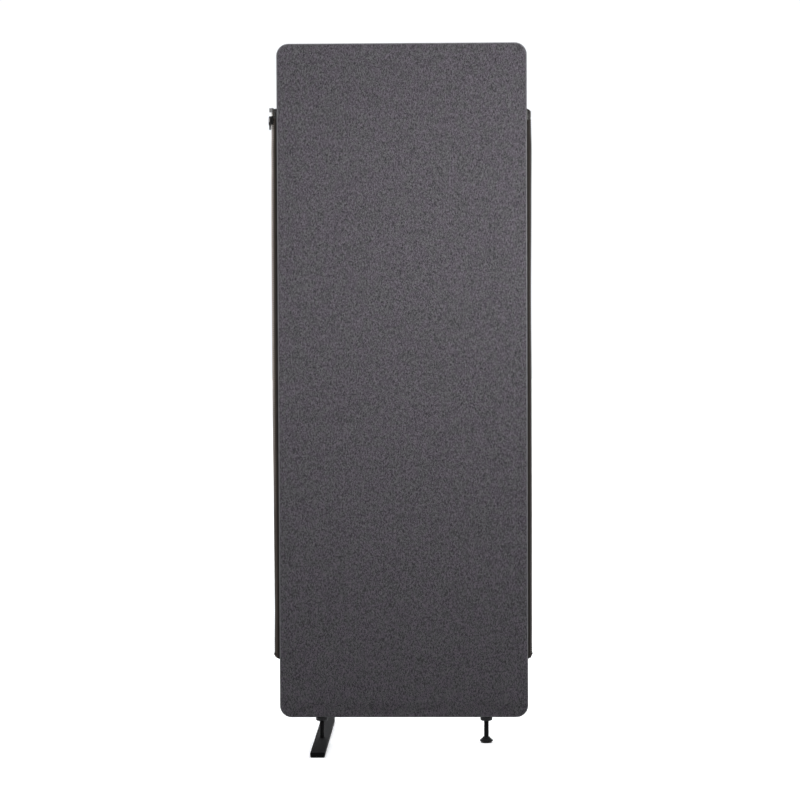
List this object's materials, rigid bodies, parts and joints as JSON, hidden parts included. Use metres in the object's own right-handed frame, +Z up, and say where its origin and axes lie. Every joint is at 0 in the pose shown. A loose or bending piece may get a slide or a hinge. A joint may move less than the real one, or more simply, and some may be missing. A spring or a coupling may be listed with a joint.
{
  "type": "partition wall",
  "caption": "Free-standing fabric-covered acoustic partition panel with half a separating zipper on each side edge, a swivelling bar foot and a screw-in levelling glide.",
  "frame": {"origin": "on the floor under the middle of the whole part's box; the bar foot reaches further back than forward, so the panel's middle plane is 42 mm in front of the origin", "axes": "+X across the panel towards the glide, +Y from the front to the back, +Z up"},
  "size_m": [0.6295, 0.484, 1.677],
  "materials": {
    "cover_fabric": "matte",
    "felt": "matte",
    "core_felt": "matte",
    "frame_steel": "satin",
    "elbow_plastic": "matte",
    "screw_steel": "satin",
    "collar_plastic": "matte",
    "foot_paint": "matte",
    "stem_black": "satin",
    "pad_rubber": "matte",
    "glide_plastic": "matte",
    "zip_tape": "matte",
    "zip_film": "gloss",
    "zip_teeth": "satin",
    "zip_steel": "satin",
    "slider_metal": "satin"
  },
  "bodies": {
    "panel": {"core_board_lower": "core_felt", "core_board_upper": "core_felt", "cover_front": "cover_fabric", "cover_rear": "cover_fabric", "edge_felt_band": "felt", "elbow_bottom_left": "elbow_plastic", "elbow_bottom_right": "elbow_plastic", "elbow_top_left": "elbow_plastic", "elbow_top_right": "elbow_plastic", "felt_board_front": "felt", "felt_board_rear": "felt", "frame_bottom_rail": "frame_steel", "frame_left_stile": "frame_steel", "frame_mid_rail": "frame_steel", "frame_right_stile": "frame_steel", "frame_screws": "screw_steel", "frame_top_rail": "frame_steel", "mid_rail_plugs": "elbow_plastic", "mid_rail_screws": "screw_steel", "socket_collar_left": "collar_plastic", "socket_collar_right": "collar_plastic", "weld_nut_left": "screw_steel", "weld_nut_right": "screw_steel", "zip_bottom_stop_left": "zip_steel", "zip_bottom_stop_right": "zip_steel", "zip_end_film_left": "zip_film", "zip_end_film_right": "zip_film", "zip_fixed_pin": "zip_steel", "zip_insertion_pin": "zip_steel", "zip_retainer_box": "zip_steel", "zip_tape_left": "zip_tape", "zip_tape_right": "zip_tape", "zip_teeth_left": "zip_teeth", "zip_teeth_right": "zip_teeth"},
    "slider": {"slider_body": "slider_metal"},
    "pull": {"pull_tab": "slider_metal"},
    "foot": {"foot_bar": "foot_paint", "foot_stem": "stem_black", "foot_screw": "screw_steel", "foot_pads": "pad_rubber"},
    "glide_foot": {"glide_base": "glide_plastic", "glide_sole": "pad_rubber"},
    "glide_screw": {"glide_stem": "stem_black"}
  },
  "joints": [
    {"name": "zip_slide", "type": "slide", "parent": "panel", "child": "slider", "axis": [0, 0, 1], "range_m": [-1.27, 0.009]},
    {"name": "pull_swing", "type": "hinge", "parent": "slider", "child": "pull", "pos_m": [-0.31503, -0.03927, 1.4932], "axis": [-0.788, 0.6157, 0], "range_deg": [-4, 120]},
    {"name": "foot_swivel", "type": "hinge", "parent": "panel", "child": "foot", "pos_m": [-0.198, -0.042, 0.06], "axis": [0, 0, 1], "range_deg": [-90, 90]},
    {"name": "glide_travel", "type": "slide", "parent": "panel", "child": "glide_foot", "axis": [0, 0, 1], "range_m": [-0.01, 0.01]},
    {"name": "glide_turn", "type": "hinge", "parent": "glide_foot", "child": "glide_screw", "pos_m": [0.198, -0.042, 0.03], "axis": [0, 0, 1], "range_deg": [-2058, 2058]}
  ],
  "couplings": [
    {"joint": "glide_turn", "follows": "glide_travel", "rad_per_m": 3590.4}
  ]
}
